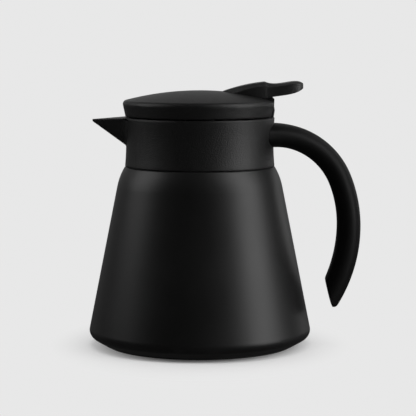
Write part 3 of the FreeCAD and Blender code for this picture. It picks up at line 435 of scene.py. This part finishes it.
def grip_points():
    """The handle: an ellipse carried along its line, across it and outwards.

    The ellipse widens towards the root, where a power of the sine squares it a little. At the lower end its
    half sizes shrink by a quarter circle, and both ends close in a few smaller rings. Points inside the collar
    move out into its wall, and points inside the lower end's slanted facet move out to its plane, softly.
    """
    along, points, heading = grip_line()
    wing = np.clip(1.0 - along / GRIP_WING_RUN, 0.0, 1.0) ** GRIP_WING_POWER
    late = np.clip(1.0 - (along[-1] - along) / GRIP_END_ROUNDING, 0.0, 1.0)
    inset = GRIP_END_ROUNDING * (1.0 - np.sqrt(1.0 - late * late))
    swell = GRIP_ROOT_SWELL * (1.0 - smooth_step(along, *GRIP_ROOT_SWELL_ENDS))
    swell += GRIP_LOWER_SWELL * smooth_step(along, *GRIP_LOWER_SWELL_ENDS)

    closing = np.array([0.0, 0.4, 0.8])
    shrink = np.concatenate([closing, np.ones(len(along)), closing[::-1]])[:, None]
    rows = np.clip(np.arange(len(shrink)) - len(closing), 0, len(along) - 1)
    half_width = (GRIP_HALF_WIDTH + GRIP_WING_WIDTH * wing - inset)[rows, None] * shrink
    half_height = (GRIP_HALF_HEIGHT + swell - inset)[rows, None] * shrink
    power = (1.0 - GRIP_WING_SQUARENESS * wing)[rows, None]

    turn = turns(96)[None, :]
    out = half_height * np.sign(np.sin(turn)) * np.abs(np.sin(turn)) ** power
    x = points[rows, 0, None] + np.cos(heading)[rows, None] * out
    y = half_width * np.cos(turn)
    z = points[rows, 1, None] + np.sin(heading)[rows, None] * out
    facet = GRIP_FACET[0] + (GRIP_FACET[1] - z) * math.tan(math.radians(GRIP_FACET_SLANT))
    x = np.where(z < GRIP_FACET_LIMIT, smooth_most(x, facet, GRIP_FACET_SOFTNESS), x)
    wall = collar_radius(z) - GRIP_ROOT_SINK
    reach = np.where(x < GRIP_ROOT_LIMIT, np.maximum(1.0, wall / np.hypot(x, y)), 1.0)
    return np.stack([x * reach, y * reach, z], -1)


def spring_points():
    """The torsion spring: a round wire along a straight foot, a helix round Y and a straight arm."""
    turn = np.linspace(0.0, SPRING_TURNS * 2 * math.pi, 157)
    angle = -math.pi / 2 - turn
    rise = SPRING_PITCH / (2 * math.pi)
    coil = np.stack([
        SPRING_AXIS[0] + SPRING_RADIUS * np.cos(angle),
        rise * turn - SPRING_TURNS * SPRING_PITCH / 2,
        SPRING_AXIS[1] + SPRING_RADIUS * np.sin(angle),
    ], 1)
    way = np.stack([
        SPRING_RADIUS * np.sin(angle),
        np.full_like(turn, rise),
        -SPRING_RADIUS * np.cos(angle),
    ], 1) / math.hypot(SPRING_RADIUS, rise)
    foot = coil[0] - way[0] * np.linspace(SPRING_FOOT_LENGTH, SPRING_STEP, 8)[:, None]
    arm = coil[-1] + way[-1] * np.linspace(SPRING_STEP, SPRING_ARM_LENGTH, 16)[:, None]
    line = np.concatenate([foot[:1], foot, coil, arm, arm[-1:]])
    ways = np.pad(way, ((len(foot) + 1, len(arm) + 1), (0, 0)), "edge")
    level = np.cross(ways, [0.0, 1.0, 0.0])
    level /= np.linalg.norm(level, axis=1)[:, None]
    side = np.cross(level, ways)
    wire = np.full(len(line), SPRING_WIRE_RADIUS)
    wire[[0, -1]] = 0.0
    around = turns(14)[None, :, None]
    ring = np.cos(around) * level[:, None] + np.sin(around) * side[:, None]
    return line[:, None] + wire[:, None, None] * ring


def spout_line(share, along):
    """The spout's outside: straight lines from a U section at the root to a small one at the tip.

    A section runs from its top edge straight down to a round bottom, and share goes from one top edge (-1)
    under the bottom (0) to the other (1).
    """
    half = between(SPOUT_HALF_WIDTH, along)
    top = between(SPOUT_TOP, along)
    rounding = between(SPOUT_ROUNDING, along)
    fall = between(SPOUT_DEPTH, along) - rounding
    touch = np.arctan2(fall, half) + np.arcsin(rounding / np.hypot(half, fall)) - math.pi / 2
    level = np.abs(share)
    swing = np.minimum(level / SPOUT_ROUND_SHARE, 1.0)
    angle = touch * swing - math.pi / 2 * (1.0 - swing)
    arc_y = rounding * np.cos(angle)
    arc_z = top - fall + rounding * np.sin(angle)
    rest = np.clip((level - SPOUT_ROUND_SHARE) / (1.0 - SPOUT_ROUND_SHARE), 0.0, 1.0)
    y = arc_y + (half - arc_y) * rest
    z = arc_z + (top - arc_z) * rest
    return np.stack([-between(SPOUT_REACH, along), np.sign(share) * y, z], -1)


def fillet_points():
    """The soft corner between spout and collar: a curve with one control point, tangent to both.

    Each line of the spout is cut by the collar, found by halving. From there one end goes out along the spout
    and the other as far over the collar, less underneath than at the sides. The strip's back lies inside.
    """
    share = np.linspace(-1.0, 1.0, 161)
    low = np.zeros_like(share)
    high = np.full_like(share, 0.5)
    for _ in range(24):
        middle = (low + high) / 2
        spot = spout_line(share, middle)
        inside = np.hypot(spot[:, 0], spot[:, 1]) < collar_radius(spot[:, 2])
        low = np.where(inside, middle, low)
        high = np.where(inside, high, middle)
    corner = spout_line(share, low)
    reach = between((FILLET_UNDER_REACH, FILLET_SIDE_REACH), smooth_step(np.abs(share), *FILLET_SIDE_SHARES))
    ahead = spout_line(share, low + reach / SPOUT_LINE_LENGTH)

    turn = np.arctan2(corner[:, 1], -corner[:, 0])
    flat = np.stack([FILLET_UNROLLED_RADIUS * turn, corner[:, 2]], 1)
    way = np.gradient(flat, axis=0)
    way /= np.linalg.norm(way, axis=1)[:, None]
    away = flat + reach[:, None] * np.stack([way[:, 1], -way[:, 0]], 1)
    wall = collar_radius(away[:, 1])
    away_turn = away[:, 0] / FILLET_UNROLLED_RADIUS
    aside = np.stack([-wall * np.cos(away_turn), wall * np.sin(away_turn), away[:, 1]], 1)

    bend = np.linspace(0.0, 1.0, 9)[None, :, None]
    front = (1 - bend) ** 2 * aside[:, None] + bend ** 2 * ahead[:, None]
    front += 2 * bend * (1 - bend) * corner[:, None]
    inward = FILLET_SINK * np.stack([np.cos(turn), -np.sin(turn), np.zeros_like(turn)], 1)
    back = np.stack([corner + inward, aside + inward / 2], 1)
    rings = np.concatenate([front, back], 1)
    rings[..., 2] = np.minimum(rings[..., 2], COLLAR_TOP - FILLET_TOP_GAP)
    ends = [np.repeat(rings[[row], :1], rings.shape[1], 1) for row in (0, -1)]
    return np.concatenate([ends[0], rings, ends[1]])


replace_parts(piece("grip", grip_points(), SMOOTH, "vessel"), "handle")
piece("spout_fillet", fillet_points(), GRAINED, "vessel")
spring = piece("lid_spring", spring_points(), HARDWARE)
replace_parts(spring, "hinge_spring")
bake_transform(spring)


# The studio, in metres

BACKGROUND = 0.806
FLOOR_RADIUS = 6.0
FLOOR_OVAL = (1.28, 1.0, 0.0)
FLOOR_LIT_RANGE = (0.050, 0.125)

PICTURE_WIDTH = 416
FOCAL_LENGTH_PIXELS = 1828.31
CAMERA_PLACE = (0.0, -1.146, 0.20475)
CAMERA_PITCH = -5.905
CAMERA_YAW = -0.258


def make_floor():
    """A round pale floor: lit near the carafe, where it takes the shadow, and even background further off.

    The lit patch is an oval, narrower along X.
    """
    turn = turns(96)
    ring = FLOOR_RADIUS * np.stack([np.cos(turn), np.sin(turn), np.zeros_like(turn)], 1)
    mesh = bpy.data.meshes.new("floor")
    mesh.from_pydata(ring.tolist(), [], [list(range(len(ring)))])
    floor = bpy.data.objects.new("floor", mesh)
    bpy.context.scene.collection.objects.link(floor)
    material = bpy.data.materials.new("pale_floor")
    tree = Tree(material)
    place = tree.place()
    oval = tree.node("ShaderNodeVectorMath", {"operation": "MULTIPLY"}, {0: place, 1: FLOOR_OVAL})
    away = tree.node("ShaderNodeVectorMath", {"operation": "LENGTH"}, {0: oval}, "Value")
    cloud = tree.noise(place, 0.05, 2.0)
    colour = tree.mix(cloud, grey(0.79), grey(0.82))
    lit = tree.node("ShaderNodeBsdfPrincipled", {}, {"Base Color": colour, "Roughness": 0.8})
    even = tree.node("ShaderNodeEmission", {}, {"Color": grey(1.0), "Strength": BACKGROUND})
    camera, mirrored, through = tree.rays()
    share = away.step(*FLOOR_LIT_RANGE) * camera.most(mirrored).most(through)
    surface = tree.node("ShaderNodeMixShader", {}, {0: share, 1: lit, 2: even})
    tree.node("ShaderNodeOutputMaterial", {}, {"Surface": surface})
    mesh.materials.append(material)
    floor.visible_glossy = False
    floor.visible_shadow = False


def make_world():
    """Even pale background to the camera and through glass, which gloss mirrors as a pale wall behind.

    The rest of the room is dim below, a little brighter behind and dark in front.
    """
    world = bpy.data.worlds.new("studio")
    bpy.context.scene.world = world
    tree = Tree(world)
    way = tree.node("ShaderNodeTexCoord", {}, {}, "Generated")
    back = tree.part(way, 1).step(0.35, 0.95)
    above = tree.part(way, 2).step(-0.15, 0.1)
    room = above * (0.02 + 0.25 * back) + (1.0 - above) * 0.04
    wall = tree.part(way, 1).step(0.86, 1.12) * above
    camera, mirrored, through = tree.rays()
    seen = camera.most(through).most(mirrored * wall)
    strength = seen * BACKGROUND + (1.0 - seen) * room
    light = tree.node("ShaderNodeBackground", {}, {"Color": grey(1.0), "Strength": strength})
    tree.node("ShaderNodeOutputWorld", {}, {"Surface": light})


def soft_light(name, place, target, width, height, radiance, mirrored=True):
    """A rectangular softbox at place, turned to target, of an even radiance, mirrored in gloss or not."""
    lamp = bpy.data.lights.new(name, "AREA")
    lamp.shape = "RECTANGLE"
    lamp.size = width
    lamp.size_y = height
    lamp.energy = radiance * 4 * width * height
    holder = bpy.data.objects.new(name, lamp)
    holder.location = place
    holder.rotation_euler = (Vector(target) - Vector(place)).to_track_quat("-Z", "Y").to_euler()
    holder.visible_camera = False
    holder.visible_glossy = mirrored
    bpy.context.scene.collection.objects.link(holder)


def make_lights():
    """A tall key at the right, aimed low to reach the foot, a fill at the left, a rim and a top light."""
    middle = (0.0, 0.0, 0.08)
    soft_light("key_right", (0.895, -0.352, 0.45), (0.055, -0.022, -0.03), 0.65, 1.45, 2.45)
    soft_light("side_left", (-0.95, 0.03, 0.62), middle, 0.7, 0.8, 1.4)
    soft_light("rim_back", (0.67, 0.60, 0.40), middle, 0.22, 0.9, 0.8)
    soft_light("top", (0.0, 0.1, 1.5), middle, 1.2, 1.2, 2.6, mirrored=False)


def make_camera():
    """A long lens a little above the lid, looking down at the middle of the carafe as in the photograph."""
    camera = bpy.data.cameras.new("camera")
    camera.sensor_width = 36.0
    camera.lens = camera.sensor_width * FOCAL_LENGTH_PIXELS / PICTURE_WIDTH
    holder = bpy.data.objects.new("camera", camera)
    holder.location = CAMERA_PLACE
    holder.rotation_euler = (math.radians(90 + CAMERA_PITCH), 0.0, math.radians(CAMERA_YAW))
    bpy.context.scene.collection.objects.link(holder)
    bpy.context.scene.camera = holder


make_floor()
make_world()
make_lights()
make_camera()
bpy.context.scene.view_settings.view_transform = "Standard"
